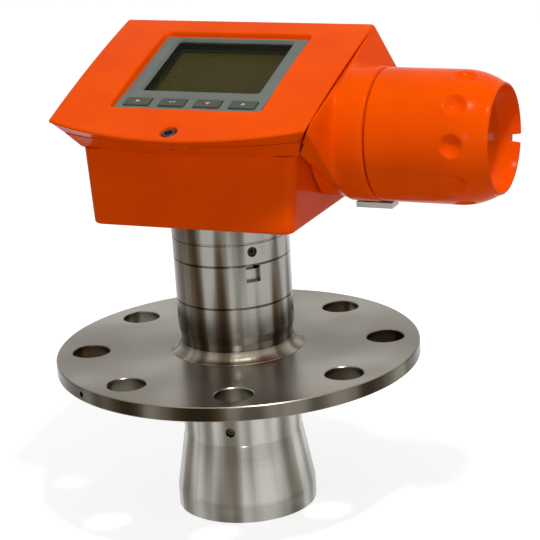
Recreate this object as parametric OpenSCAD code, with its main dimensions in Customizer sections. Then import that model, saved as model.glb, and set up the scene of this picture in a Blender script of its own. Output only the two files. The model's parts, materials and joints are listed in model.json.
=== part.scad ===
// Radar level transmitter for liquid storage tanks.
// A stainless process flange carries a short neck and a conical horn antenna below it.
// The painted aluminium head stands on the neck: a drafted box under an inclined display
// cover, and a round terminal compartment on its right side with a screw-on cap.
// Origin: centre of the flange's underside. +Z up, front towards -Y, cap towards +X.

/* [Process flange] */
// Outer diameter of the flange
flange_d = 185; // [160:1:220]
// Thickness of the flange plate
flange_t = 7.4; // [6:0.1:14]
// Distance of the bolt circle inside the flange's rim
bolt_edge = 17.5; // [15:0.5:24]
// Number of bolt holes
bolt_count = 8; // [4:4:12]
// Diameter of each bolt hole
bolt_hole_d = 19; // [12:0.5:22]
// Chamfer on the rim and on the holes
flange_chamfer = 0.6; // [0.2:0.1:1.5]
// Depth of the relief groove that ends the sealing face near the horn
face_relief = 0.8; // [0.4:0.1:1.5]
// Bore through the flange and the lower neck
process_bore_d = 30; // [20:1:36]
// Diameter of the threaded spigot below the flange
spigot_d = 43.4; // [38:0.2:50]
// Length of the threaded spigot below the flange
spigot_h = 10; // [6:0.5:12]

/* [Horn antenna] */
// Outer diameter of the upper cylinder
horn_top_d = 60.4; // [56:0.2:66]
// Height of the upper cylinder
horn_top_h = 37; // [28:0.5:45]
// Height of the conical flare
horn_cone_h = 29; // [20:0.5:45]
// Outer diameter of the rim
horn_mouth_d = 71; // [66:0.5:78]
// Height of the straight rim
horn_rim_h = 10.3; // [6:0.1:16]
// Wall thickness at the rim
horn_wall = 2.4; // [1.5:0.1:4]
// Length of the dielectric cone below the spigot
seal_cone_h = 40; // [20:1:50]

/* [Neck] */
// Outer diameter of the neck rings
neck_d = 58.8; // [54:0.2:64]
// Height of the lower neck's shoulder above the flange's underside
neck_shoulder_z = 34.8; // [26:0.2:40]
// Height of the seam between the union nut and the head ring
head_ring_z = 57; // [50:0.5:64]
// Width of the spanner slots in the union nut
spanner_slot_w = 7.5; // [5:0.1:10]
// Depth of the spanner slots down from the seam
spanner_slot_h = 8.6; // [6:0.1:12]
// Leg length of the weld fillet on the flange
weld_leg = 5; // [3:0.1:7]

/* [Housing] */
// Height of the head's bottom above the flange's underside
box_z = 80.7; // [76:0.5:92]
// Half width of the box at its bottom
box_half_w = 53.2; // [48:0.2:58]
// Distance from the neck's axis to the front wall
box_front = 46; // [43:0.2:52]
// Distance from the neck's axis to the rear wall
box_rear = 37.5; // [34:0.5:56]
// Wall thickness of the casting
box_wall = 3.6; // [2.6:0.1:5]
// Radius of the box's upright edges
box_edge_r = 5; // [3:0.5:8]

/* [Cover] */
// Tilt of the cover's face from the horizontal
face_tilt = 18.6; // [14:0.1:24]
// Height of the cover's face above the neck's axis
face_z = 153.5; // [144:0.5:165]
// Half width of the face at its front corners
face_half_front = 66.8; // [60:0.1:72]
// Half width of the face at its rear edge
face_half_rear = 67.5; // [62:0.1:75]
// Distance down the slope from the centre to the front corners
face_front = 59; // [54:0.2:68]
// Distance up the slope from the centre to the rear edge
face_rear = 40.2; // [38:0.2:58]
// How far the front edge bulges beyond its corners
face_bow = 13; // [8:0.2:20]
// Height of the crown across the face
face_crown = 1.5; // [0.5:0.1:3]
// Thickness of the cover's plate
plate_t = 4.5; // [3.5:0.1:6]
// Depth of the sloping skirt, from the face to the box
skirt_depth = 17.4; // [13:0.2:21]
// Gap of the parting line between cover and housing
parting_gap = 0.5; // [0.3:0.1:1]
// Rounding of the cover's edges
cover_edge_r = 1.4; // [0.6:0.1:2.5]
// Diameter of the hinge pins
hinge_pin_d = 3; // [2:0.1:3.6]
// Outer diameter of the hinge knuckles
knuckle_d = 6.4; // [5.6:0.1:7.4]
// Distance of the hinges from the middle plane
hinge_u = 30; // [22:1:40]

/* [Display] */
// Width of the bezel
bezel_w = 77; // [72:0.5:84]
// Length of the bezel down the slope
bezel_l = 69.3; // [66:0.1:84]
// Distance of the bezel's centre down the slope
bezel_down = 10.1; // [6:0.1:12]
// Depth of the bezel's face below the cover's face
bezel_sink = 0.8; // [0.4:0.1:1.5]
// Border of the bezel beside the display opening
bezel_side = 7.6; // [6:0.1:10]
// Border of the bezel above the display opening
bezel_top = 2.6; // [2:0.1:8]
// Height of the key strip below the display opening
key_strip = 18.9; // [18:0.1:24]
// Thickness of the window glass
glass_t = 1.5; // [1:0.1:2.5]
// Width of each key
key_w = 13.5; // [10:0.1:15]
// Length of each key down the slope
key_l = 6.8; // [5:0.1:8]
// Distance of the outer keys' centres from the bezel's sides
key_inset = 10.6; // [9:0.05:13]
// How far a key stands above the bezel
key_proud = 0.9; // [0.8:0.1:1.5]
// Travel of a key
key_travel = 0.8; // [0.5:0.1:0.8]

/* [Terminal compartment] */
// Height of the compartment's axis above the flange's underside
cap_axis_z = 120.5; // [116:0.5:126]
// Outer diameter of the collar
collar_d = 65; // [60:0.5:70]
// Distance from the neck's axis to the collar's start
collar_x = 72; // [68:0.5:76]
// Distance from the neck's axis to the parting groove
groove_x = 85.5; // [84:0.5:92]
// Diameter of the compartment's bore
chamber_d = 51; // [46:0.5:52]
// Diameter of the threaded spigot that the cap screws onto
cap_thread_d = 57.2; // [56:0.2:59]
// Length of the threaded spigot
cap_thread_l = 11.5; // [9:0.5:14]
// Radius of the cable entry threads
entry_r = 10; // [8:0.1:10]
// Depth of the cable entry threads
entry_depth = 14; // [12:1:20]

/* [Cap] */
// Outer diameter of the cap
cap_d = 64.2; // [60:0.2:70]
// Overall length of the cap
cap_l = 58.8; // [50:0.2:70]
// Length of the rounded shoulder at the cap's end
cap_shoulder = 20; // [14:0.5:24]
// Diameter of the recess in the cap's end
pocket_d = 48; // [40:0.5:50]
// Depth of the recess in the cap's end
pocket_depth = 9; // [6:0.5:12]
// Number of finger dimples round the shoulder
dimple_count = 10; // [6:1:12]
// Wall thickness of the cap
cap_wall = 3.2; // [2.4:0.1:4]

/* [Cap lock] */
// Length of the lock bar
lock_l = 18.5; // [16:0.5:24]
// Width of the lock bar
lock_w = 9; // [7:0.5:12]
// Thickness of the lock bar
lock_t = 3; // [2:0.1:4]

/* [Fits] */
// Clearance between pieces that move past each other
run_gap = 0.3; // [0.2:0.05:0.5]
// Clearance between a pin and its bore
pin_gap = 0.06; // [0.02:0.01:0.1]
// Clearance between pieces fixed to one another
fit_gap = 0.1; // [0.05:0.05:0.2]

/* [Hidden] */
$fn = 96;
eps = 0.02;

// Flange and neck
bolt_pcd = flange_d - 2 * bolt_edge;
relief_r = horn_mouth_d / 2 + 1;
neck_r = neck_d / 2;
neck_foot_r = neck_r - 1;
neck_foot_z = flange_t + 8.6;
throat_r = spigot_d / 2 + fit_gap;
seam = 0.3;
nut_r = neck_r;
thread_r = neck_r - 3;
socket_r = thread_r - 2.4;
mouth_z = -(horn_top_h + horn_cone_h + horn_rim_h);
set_screw_a = -45;
set_screw_z = head_ring_z + 6.6;

// Skirt: the outline shrinks from the face down to the box
flare_side = 8.2;
flare_corner = 7;
flare_front = 15.5;
flare_rear = 5.8;
parting = 0.5;
cover_t = parting - parting_gap / 2 / skirt_depth;
rim_t = parting + parting_gap / 2 / skirt_depth;
arc_n = 24;
part_w = -parting * skirt_depth;
cavity_half = box_half_w + 0.8;
cavity_front = -(face_front - flare_corner) + 3;
cavity_rear = face_rear - flare_rear - 2.5;
hinge_v = face_rear + 2.7;
knuckle_r = knuckle_d / 2;
screw_v = -(face_front + face_bow) + 7.8;
screw_lean = 42;

// Display
bezel_w0 = -bezel_sink;
bezel_back = -(plate_t + 1.8);
glass_w0 = bezel_w0 - 1.8;
lcd_w = bezel_w - 2 * bezel_side;
lcd_l = bezel_l - bezel_top - key_strip;
lcd_v = -bezel_down + (key_strip - bezel_top) / 2;
flange_grip = 2.5;
lcd_top = bezel_back - fit_gap;
lcd_t = 5;
board_w0 = lcd_top - lcd_t - fit_gap;
board_t = 1.6;
key_v = -bezel_down - bezel_l / 2 + 7.1;
key_pitch = (bezel_w - 2 * key_inset) / 3;
dome_h = 0.7;

// Terminal compartment
collar_r = collar_d / 2;
cap_r = cap_d / 2;
chamber_r = chamber_d / 2;
chamber_x = collar_x - 1.5;
cap_thread_r = cap_thread_d / 2;
cap_x = groove_x + 0.8;
cap_end_x = cap_x + cap_l;
cap_shoulder_r = 34;
entry_x = groove_x - entry_r - 2.1;
entry_y = box_rear + 2.5;
entry_top_z = cap_axis_z + 4.5;
entry_low_z = entry_top_z - 24;
lock_x = collar_x + 3.5;
lock_top = cap_axis_z - collar_r - 0.4;

// ---------------------------------------------------------------- helpers

// Puts children on the cover's sloping face: x across, y up the slope, z out of the face
module on_face() {
    translate([0, 0, face_z])
        rotate([face_tilt, 0, 0])
            children();
}

// Puts children on the terminal compartment's axis, with z pointing along +X
module on_cap_axis(x) {
    translate([x, 0, cap_axis_z])
        rotate([0, 90, 0])
            children();
}

// Plate with rounded corners, centred, from z0 up by t
module round_plate(w, l, r, z0, t) {
    translate([0, 0, z0])
        linear_extrude(t)
            union() {
                square([w - 2 * r, l], center = true);
                square([w, l - 2 * r], center = true);
                for (x = [-1, 1], y = [-1, 1])
                    translate([x * (w / 2 - r), y * (l / 2 - r)])
                        circle(r);
            }
}

// Outline of the cover and skirt at the share t of the skirt's depth, moved in by e
function rim(t, e = 0) =
    let (
        half_front = face_half_front - t * flare_side - e,
        half_rear = face_half_rear - t * flare_side - e,
        corner = -face_front + t * flare_corner + e,
        apex = -face_front - face_bow + t * flare_front + e,
        rear = face_rear - t * flare_rear - e,
        bow = corner - apex,
        r = (half_front * half_front + bow * bow) / (2 * bow),
        half_a = asin(half_front / r)
    )
    concat(
        [for (i = [0 : arc_n])
            let (a = half_a * (2 * i / arc_n - 1))
            [r * sin(a), apex + r - r * cos(a)]],
        [[half_rear, rear], [-half_rear, rear]]
    );

// Thin slice of that outline, at its own depth below the face
module rim_slice(t, e = 0, lift = 0) {
    translate([0, 0, lift - t * skirt_depth])
        linear_extrude(eps)
            offset(cover_edge_r, $fn = 24)
                offset(delta = -cover_edge_r)
                    polygon(rim(t, e));
}

// Straight-sided outline round the housing's opening, grown by e
module mouth_outline(e) {
    r = box_edge_r - 1 + max(e, 0);
    half = cavity_half + e;
    translate([0, (cavity_front + cavity_rear) / 2])
        offset(r, $fn = 32)
            square([2 * half - 2 * r, cavity_rear - cavity_front + 2 * e - 2 * r], center = true);
}

// Height of the crown at the distance v up the slope
function crown(v) =
    let (mid = (face_rear - face_front) / 2, half = (face_rear + face_front) / 2)
    face_crown * (1 - pow((v - mid) / half, 2));

// ---------------------------------------------------------------- process side

module flange_plate() {
    color([0.66, 0.65, 0.62])
        difference() {
            rotate_extrude($fn = 160)
                polygon([
                    [process_bore_d / 2, 0],
                    [horn_top_d / 2 + 0.2, 0],
                    [horn_top_d / 2 + 0.2, face_relief],
                    [relief_r, face_relief],
                    [relief_r, 0],
                    [flange_d / 2 - flange_chamfer, 0],
                    [flange_d / 2, flange_chamfer],
                    [flange_d / 2, flange_t - flange_chamfer],
                    [flange_d / 2 - flange_chamfer, flange_t],
                    [process_bore_d / 2, flange_t],
                ]);
            for (i = [0 : bolt_count - 1])
                rotate([0, 0, (i + 0.5) * 360 / bolt_count])
                    translate([bolt_pcd / 2, 0, 0])
                        bolt_hole();
            rotate([0, 0, -122])
                translate([flange_d / 2 - 8, 0, flange_t / 2])
                    rotate([0, 90, 0])
                        cylinder(h = 9, d = 3, $fn = 32);
        }
}

// Threaded spigot under the flange that the horn screws onto
module flange_spigot() {
    color([0.66, 0.65, 0.62])
        rotate_extrude($fn = 128)
            polygon([
                [process_bore_d / 2, -spigot_h],
                [spigot_d / 2 - 1, -spigot_h],
                [spigot_d / 2, -spigot_h + 1],
                [spigot_d / 2, 0],
                [process_bore_d / 2, 0],
            ]);
}

module bolt_hole() {
    rim = bolt_hole_d / 2 + flange_chamfer;
    translate([0, 0, -1])
        cylinder(h = flange_t + 2, d = bolt_hole_d);
    translate([0, 0, flange_t - flange_chamfer])
        cylinder(h = 2 * flange_chamfer, r1 = bolt_hole_d / 2, r2 = rim + flange_chamfer);
}

// Upper cylinder of the horn, screwed onto the spigot
module horn_antenna() {
    top_r = horn_top_d / 2;
    color([0.72, 0.71, 0.68])
        difference() {
            rotate_extrude($fn = 128)
                polygon([
                    [throat_r, 0],
                    [top_r - 0.5, 0],
                    [top_r, -0.5],
                    [top_r, -horn_top_h],
                    [throat_r, -horn_top_h],
                ]);
            on_horn_screw()
                cylinder(h = 14, d = 4.2, $fn = 32);
        }
}

// Conical flare with its straight rim, welded under the upper cylinder
module horn_flare() {
    top_r = horn_top_d / 2;
    mouth_r = horn_mouth_d / 2;
    rim_z = -horn_top_h - horn_cone_h;
    color([0.72, 0.71, 0.68])
        rotate_extrude($fn = 128)
            polygon([
                [throat_r, -horn_top_h],
                [top_r, -horn_top_h],
                [top_r + 0.6, -horn_top_h - 0.8],
                [mouth_r - 0.2, rim_z],
                [mouth_r, rim_z - 0.4],
                [mouth_r, mouth_z + 0.4],
                [mouth_r - 0.4, mouth_z],
                [mouth_r - horn_wall + 0.4, mouth_z],
                [mouth_r - horn_wall, mouth_z + 0.4],
                [mouth_r - horn_wall, rim_z],
            ]);
}

// Radial line of the screw that locks the horn to the spigot
module on_horn_screw() {
    rotate([0, 0, -78])
        translate([spigot_d / 2 - 1, 0, -horn_top_h * 0.8])
            rotate([0, 90, 0])
                children();
}

module horn_set_screw() {
    color([0.35, 0.35, 0.36])
        on_horn_screw()
            translate([0, 0, 1.6])
                hex_set_screw(4.2 / 2 - fit_gap / 2, 6);
}

// Headless screw with a hexagonal socket, its open end at z = l
module hex_set_screw(r, l) {
    difference() {
        cylinder(h = l, r = r, $fn = 32);
        translate([0, 0, l - 2])
            cylinder(h = 3, r = r * 0.55, $fn = 6);
    }
}

module process_seal() {
    bore_r = process_bore_d / 2 - fit_gap;
    disc_r = spigot_d / 2 - 2;
    top = flange_t + 16;
    tip = -spigot_h - seal_cone_h;
    color([0.93, 0.93, 0.9])
        rotate_extrude($fn = 96)
            polygon([
                [0, top],
                [bore_r, top],
                [bore_r, -spigot_h - fit_gap],
                [disc_r, -spigot_h - fit_gap],
                [disc_r, -spigot_h - 4],
                [disc_r - 3, -spigot_h - 5],
                [1.6, tip],
                [0, tip],
            ]);
}

module weld_bead() {
    inner = neck_foot_r + fit_gap / 2;
    color([0.55, 0.54, 0.52])
        rotate_extrude($fn = 128)
            polygon(concat(
                [[inner, flange_t]],
                [for (i = [0 : 8])
                    let (a = i * 90 / 8)
                    [inner + weld_leg * (1 - sin(a)) + 0.5, flange_t + weld_leg * (1 - cos(a)) + 0.05]],
                [[inner, flange_t + weld_leg + 0.05]]
            ));
}

module neck_tube() {
    top = head_ring_z - 3;
    color([0.62, 0.61, 0.58])
        rotate_extrude($fn = 128)
            polygon([
                [process_bore_d / 2, flange_t],
                [neck_foot_r, flange_t],
                [neck_foot_r, neck_foot_z],
                [neck_r, neck_foot_z + 4],
                [neck_r, neck_shoulder_z - 0.4],
                [neck_r - 0.4, neck_shoulder_z],
                [thread_r, neck_shoulder_z],
                [thread_r, top],
                [socket_r, top],
                [socket_r, neck_shoulder_z + 2],
                [process_bore_d / 2, neck_shoulder_z + 2],
            ]);
}

// Ring nut on the lower neck's thread; it clamps the head ring
module union_nut() {
    low = neck_shoulder_z + seam;
    high = head_ring_z - seam;
    color([0.66, 0.65, 0.62])
        difference() {
            rotate_extrude($fn = 128)
                polygon([
                    [thread_r + run_gap, low],
                    [nut_r - 0.4, low],
                    [nut_r, low + 0.4],
                    [nut_r, high - 0.4],
                    [nut_r - 0.4, high],
                    [thread_r + run_gap, high],
                ]);
            for (a = [set_screw_a, set_screw_a + 180])
                rotate([0, 0, a])
                    translate([thread_r - 1, -spanner_slot_w / 2, high - spanner_slot_h])
                        cube([10, spanner_slot_w, spanner_slot_h + 1]);
        }
}

// ---------------------------------------------------------------- head, fixed pieces

module head_ring() {
    color([0.64, 0.63, 0.6])
        difference() {
            rotate_extrude($fn = 128)
                polygon([
                    [socket_r - run_gap - 5, neck_shoulder_z + 3],
                    [socket_r - run_gap, neck_shoulder_z + 3],
                    [socket_r - run_gap, head_ring_z],
                    [neck_r - 0.3, head_ring_z],
                    [neck_r + 0.1, head_ring_z + 0.4],
                    [neck_r + 0.1, head_ring_z + 10.4],
                    [neck_r - 0.2, head_ring_z + 10.6],
                    [neck_r - 0.2, head_ring_z + 11.2],
                    [neck_r + 0.2, head_ring_z + 11.4],
                    [neck_r + 0.2, box_z],
                    [socket_r - run_gap - 5, box_z],
                ]);
            on_ring_screw()
                cylinder(h = 14, d = 5, $fn = 32);
        }
}

// Radial line of the screw that holds the head at its bearing
module on_ring_screw() {
    rotate([0, 0, set_screw_a])
        translate([socket_r - run_gap - 3, 0, set_screw_z])
            rotate([0, 90, 0])
                children();
}

module head_ring_screw() {
    color([0.3, 0.3, 0.31])
        on_ring_screw()
            translate([0, 0, 1])
                hex_set_screw(5 / 2 - fit_gap / 2, 6);
}

// Outside of the drafted box, from the bottom up to the skirt
module box_body() {
    hull() {
        box_slab(1.6, 0);
        box_slab(0, 1.6);
        on_face()
            translate([0, (face_rear - flare_rear - face_front + flare_corner) / 2, -skirt_depth])
                linear_extrude(eps)
                    offset(box_edge_r, $fn = 32)
                        square([
                            2 * (box_half_w + 3.4 - box_edge_r),
                            face_rear - flare_rear + face_front - flare_corner - 2 * box_edge_r,
                        ], center = true);
    }
}

// Horizontal slice of the box, moved in by e, at the height h above its bottom
module box_slab(e, h) {
    translate([0, (box_rear - box_front) / 2, box_z + h])
        linear_extrude(eps)
            offset(box_edge_r - e / 2, $fn = 32)
                square([
                    2 * box_half_w - 2 * box_edge_r - e,
                    box_front + box_rear - 2 * box_edge_r - e,
                ], center = true);
}

module box_skirt() {
    hull()
        on_face() {
            rim_slice(rim_t - 0.02);
            rim_slice(1.15);
        }
}

// Corners of the boss where it leaves the head: each joins the collar at the given angle,
// counted from the top over the front
boss_corners = [
    [72, face_point(face_half_front + 0.95, -face_front + 9, -0.5)],
    [132, face_point(face_half_front + 0.7, -face_front + 1.5, -3)],
    [152, face_point(face_half_front - flare_side + 0.6, -face_front + flare_corner - 0.3, -skirt_depth)],
    [160, [box_half_w + 2.8, -0.54 * box_front, 110]],
    [168, [box_half_w + 2.8, -0.43 * box_front, 101.5]],
    [177, [box_half_w + 2.3, -0.26 * box_front, 93]],
    [187, [box_half_w + 1.8, 0, cap_axis_z - collar_r + 0.6]],
    [215, [box_half_w + 1.8, 0.5 * box_rear, 92]],
    [250, [box_half_w + 1.8, 0.9 * box_rear, 104]],
    [300, face_point(face_half_rear - 3, face_rear - 4, -10)],
    [335, face_point(face_half_rear + 0.95, face_rear - 1.5, -0.5)],
    [432, face_point(face_half_front + 0.95, -face_front + 9, -0.5)],
];

// Point of the cover's frame in the part's frame
function face_point(u, v, w) = [
    u,
    v * cos(face_tilt) - w * sin(face_tilt),
    face_z + v * sin(face_tilt) + w * cos(face_tilt),
];

// Point between two of those corners that joins the collar at the angle a
function boss_edge(a) =
    let (
        k = max([for (i = [0 : len(boss_corners) - 2]) if (boss_corners[i][0] <= a) i]),
        low = boss_corners[k],
        high = boss_corners[k + 1],
        s = (a - low[0]) / (high[0] - low[0])
    )
    low[1] + s * (high[1] - low[1]);

// Flared boss that blends the box's right side into the round collar
module collar_boss() {
    angles = [for (k = [0 : len(boss_corners) - 2])
        let (from = boss_corners[k][0], to = boss_corners[k + 1][0], n = ceil((to - from) / 6))
        for (i = [0 : n - 1]) from + i * (to - from) / n];
    n = len(angles);
    r = collar_r;
    polyhedron(
        points = concat(
            [for (a = angles) boss_edge(a)],
            [for (a = angles) [collar_x, -r * sin(a), cap_axis_z + r * cos(a)]],
            [[box_half_w - 14, -4, cap_axis_z + 4], [collar_x, 0, cap_axis_z]]
        ),
        faces = concat(
            [for (i = [0 : n - 1]) [i, n + i, (i + 1) % n]],
            [for (i = [0 : n - 1]) [(i + 1) % n, n + i, n + (i + 1) % n]],
            [for (i = [0 : n - 1]) [2 * n, i, (i + 1) % n]],
            [for (i = [0 : n - 1]) [2 * n + 1, n + (i + 1) % n, n + i]]
        )
    );
}

module head_housing() {
    color([0.85, 0.3, 0.04])
        difference() {
            union() {
                box_body();
                box_skirt();
                collar_boss();
                difference() {
                    entry_pad();
                    on_cap_axis(collar_x)
                        cylinder(h = 60, r = collar_r);
                }
                housing_knuckles();
            }
            main_cavity();
            cover_space();
            on_face()
                translate([0, 0, part_w - parting_gap / 2 - 1])
                    linear_extrude(2) {
                        difference() {
                            mouth_outline(4);
                            mouth_outline(1.6);
                        }
                    }
            on_cap_axis(chamber_x)
                cylinder(h = 60, r = chamber_r);
            translate([0, 0, box_z - 1])
                cylinder(h = 8, r = process_bore_d / 2 + 1.5);
            cable_entries();
            on_cover_screw()
                translate([0, 0, -18])
                    cylinder(h = 18, d = 4.2, $fn = 32);
            translate([-35, box_rear - 6, box_z + 16])
                rotate([-90, 0, 0])
                    cylinder(h = 12, d = 5, $fn = 32);
            on_cap_axis(box_half_w - 8)
                translate([0, -10, 0])
                    cylinder(h = chamber_x - box_half_w + 9, d = 8, $fn = 32);
        }
    color([0.85, 0.3, 0.04])
        for (x = [-1, 1], y = [-1, 1])
            translate([x * 38, y * (box_rear - box_wall - 11), box_z + box_wall - 0.2])
                cylinder(h = 24.2 - box_wall, d = 6, $fn = 32);
}

// Round collar of the terminal compartment with the spigot for the cap's thread
module terminal_collar() {
    color([0.85, 0.3, 0.04])
        difference() {
            union() {
                on_cap_axis(collar_x)
                    cylinder(h = groove_x - collar_x - 0.8, r = collar_r);
                on_cap_axis(groove_x - 0.8)
                    cylinder(h = 0.8, r1 = collar_r, r2 = collar_r - 0.8);
                on_cap_axis(groove_x - 1)
                    cylinder(h = cap_thread_l + 1, r = cap_thread_r);
            }
            on_cap_axis(collar_x - 1)
                cylinder(h = 60, r = chamber_r);
            cable_entries();
            translate([lock_x, 0, lock_top])
                cylinder(h = 6.2, d = 4, $fn = 32);
        }
}

// Hollow of the box, open to the cover
module main_cavity() {
    hull() {
        translate([0, (box_rear - box_front) / 2, box_z + box_wall])
            linear_extrude(eps)
                offset(box_edge_r - 1, $fn = 32)
                    square([
                        2 * (box_half_w - box_wall - box_edge_r + 1),
                        box_front + box_rear - 2 * (box_wall + box_edge_r - 1),
                    ], center = true);
        on_face()
            translate([0, 0, part_w + 1])
                linear_extrude(eps)
                    mouth_outline(0);
    }
}

// Room for the cover above the parting line, an even gap wider than the cover
module cover_space() {
    on_face()
        hull()
            for (t = [cover_t, -0.35])
                translate([0, 0, -t * skirt_depth - (t > 0 ? parting_gap : 0)])
                    linear_extrude(eps)
                        offset(delta = run_gap + 0.1)
                            polygon(rim(t));
}

// Rear pad with the two cable entries, one above the other, faired to the cover's rear corner
module entry_pad() {
    hull() {
        on_face()
            for (v = [face_rear - 1.6, 6])
                translate([face_half_rear + 0.75, v, -0.9])
                    cube(0.4, center = true);
        for (z = [entry_low_z, entry_top_z])
            translate([entry_x, 0, z])
                rotate([-90, 0, 0])
                    cylinder(h = entry_y, r = entry_r + 2, $fn = 48);
    }
}

module cable_entries() {
    for (z = [entry_low_z, entry_top_z])
        translate([entry_x, 0, z])
            rotate([-90, 0, 0]) {
                translate([0, 0, entry_y - entry_depth])
                    cylinder(h = entry_depth + 1, r = entry_r);
                translate([0, 0, 8])
                    cylinder(h = entry_y, r = entry_r - 2.2);
            }
}

// Knuckles and arms on the housing's rear rim
module housing_knuckles() {
    on_face()
        for (u = [-hinge_u, hinge_u], s = [-1, 1])
            translate([u + s * (6 + run_gap + 3), hinge_v, part_w])
                difference() {
                    union() {
                        rotate([0, 90, 0])
                            cylinder(h = 6, r = knuckle_r, center = true, $fn = 48);
                        translate([-3, -9, -knuckle_r])
                            cube([6, 9, knuckle_r - 0.4]);
                    }
                    rotate([0, 90, 0])
                        cylinder(h = 8, d = hinge_pin_d + 2 * pin_gap, center = true, $fn = 48);
                }
}

module hinge_pins() {
    color([0.6, 0.6, 0.6])
        on_face()
            for (u = [-hinge_u, hinge_u])
                translate([u, hinge_v, part_w])
                    rotate([0, 90, 0])
                        cylinder(h = 26, d = hinge_pin_d, center = true, $fn = 48);
}

module cover_gasket() {
    color([0.12, 0.12, 0.12])
        on_face()
            translate([0, 0, part_w - parting_gap / 2 - 1])
                linear_extrude(1.2)
                    difference() {
                        mouth_outline(3.8);
                        mouth_outline(1.8);
                    }
}

module microwave_module() {
    floor_z = box_z + box_wall;
    color([0.75, 0.76, 0.78]) {
        translate([0, 0, neck_shoulder_z - 6])
            cylinder(h = floor_z - neck_shoulder_z + 6, r = process_bore_d / 2 - 2);
        translate([-0.45 * box_half_w, -0.46 * box_front, floor_z])
            cube([0.9 * box_half_w, 0.92 * box_front, 0.3 * box_half_w]);
    }
}

module main_board() {
    z = box_z + 24;
    half_x = box_half_w - 9.2;
    half_y = box_rear - box_wall - 6;
    color([0.1, 0.32, 0.16])
        translate([-half_x, -half_y, z])
            cube([2 * half_x, 2 * half_y, 1.6]);
    color([0.15, 0.15, 0.15]) {
        translate([-0.82 * half_x, -0.55 * half_y, z + 1.6])
            cube([0.5 * half_x, 0.78 * half_y, 0.2 * half_x]);
        translate([0.14 * half_x, -0.22 * half_y, z + 1.6])
            cube([0.36 * half_x, 0.44 * half_y, 3]);
        translate([0.45 * half_x, 0.39 * half_y, z + 1.6])
            cube([0.41 * half_x, 0.28 * half_y, 0.18 * half_x]);
    }
}

module terminal_block() {
    color([0.2, 0.22, 0.2]) {
        on_cap_axis(chamber_x)
            cylinder(h = 4, r = chamber_r - 1);
        translate([chamber_x + 4, -19, cap_axis_z - 8])
            difference() {
                cube([11, 38, 16]);
                for (i = [1 : 3])
                    translate([6, i * 38 / 4 - 0.5, -1])
                        cube([6, 1, 18]);
            }
    }
}

module terminal_screws() {
    color([0.75, 0.75, 0.72])
        for (i = [0 : 3])
            translate([0, (i - 1.5) * 38 / 4, 0])
                on_cap_axis(chamber_x + 15)
                    difference() {
                        cylinder(h = 1.8, d = 6, $fn = 32);
                        translate([-4, -0.5, 1])
                            cube([8, 1, 2]);
                    }
}

module blanking_plug() {
    color([0.7, 0.7, 0.68])
        translate([entry_x, entry_y, entry_top_z])
            rotate([-90, 0, 0])
                difference() {
                    union() {
                        translate([0, 0, -entry_depth + 3])
                            cylinder(h = entry_depth - 3, r = entry_r - fit_gap);
                        cylinder(h = 4, r = entry_r + 1.6, $fn = 6);
                    }
                    translate([0, 0, 1])
                        cylinder(h = 4, r = 5, $fn = 6);
                }
}

module earth_screw() {
    color([0.75, 0.7, 0.5])
        translate([-35, box_rear - 5, box_z + 16])
            rotate([-90, 0, 0])
                difference() {
                    union() {
                        cylinder(h = 5, r = 2.5 - fit_gap, $fn = 32);
                        translate([0, 0, 6.2])
                            cylinder(h = 1, r = 5.5, $fn = 48);
                        translate([0, 0, 7.2])
                            cylinder(h = 3.4, r = 4.3, $fn = 48);
                        cylinder(h = 7, r = 2.5 - fit_gap, $fn = 32);
                    }
                    translate([-6, -0.6, 9.4])
                        cube([12, 1.2, 2]);
                }
}

module cap_lock_screw() {
    color([0.5, 0.5, 0.5])
        translate([lock_x, 0, lock_top - lock_t])
            difference() {
                union() {
                    cylinder(h = 1.8, d = 6.4, $fn = 48);
                    cylinder(h = lock_t + 5.8, d = 4 - 2 * pin_gap, $fn = 48);
                }
                translate([0, 0, -1])
                    cylinder(h = 2.2, r = 1.6, $fn = 6);
            }
}

// ---------------------------------------------------------------- cover and display

// Crowned plate with its sloping skirt, solid
module cover_blank() {
    mid = (face_rear - face_front) / 2;
    hull() {
        rim_slice(cover_t);
        rim_slice(cover_edge_r / skirt_depth);
        rim_slice(0, cover_edge_r * 0.7, -eps);
        for (i = [0 : 12])
            let (
                v = -face_front + 1 + i * (face_rear + face_front - 2.4) / 12,
                s = (v + face_front) / (face_rear + face_front),
                half = face_half_front + s * (face_half_rear - face_half_front) - cover_edge_r
            )
            translate([0, v, crown(v) - eps])
                cube([2 * half, eps, eps], center = true);
    }
}

// Line of the captive screw, z pointing out of its recess
module on_cover_screw() {
    on_face()
        translate([0, screw_v, 0])
            rotate([screw_lean, 0, 0])
                children();
}

module head_cover() {
    grip_t = cover_t * 0.92;
    color([0.92, 0.34, 0.05])
        difference() {
            union() {
                on_face()
                    cover_blank();
                on_face()
                    translate([-3, -face_front - face_bow + flare_front * grip_t, -cover_t * skirt_depth])
                        grip_lip();
                cover_knuckles();
            }
            on_face() {
                translate([0, 0, -plate_t - 30])
                    linear_extrude(30)
                        mouth_outline(-1);
                bezel_opening();
                translate([0, -bezel_down, 0])
                    round_plate(
                        bezel_w + 2 * (flange_grip + run_gap), bezel_l + 2 * (flange_grip + run_gap),
                        3, -plate_t - 30, 30);
            }
            on_cover_screw() {
                cylinder(h = 4, d = 9, $fn = 48);
                translate([0, 0, -4.4])
                    cylinder(h = 5, d = 7.4, $fn = 48);
                translate([0, 0, -20])
                    cylinder(h = 20, d = 4.4, $fn = 32);
            }
            on_face()
                for (u = [-hinge_u, hinge_u])
                    translate([u, hinge_v, part_w])
                        rotate([0, 90, 0])
                            cylinder(h = 40, d = hinge_pin_d + 2 * pin_gap, center = true, $fn = 48);
        }
}

// Finger lip at the middle of the parting line
module grip_lip() {
    translate([-12, -2.2, 0])
        cube([24, 6, 1.3]);
}

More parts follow.
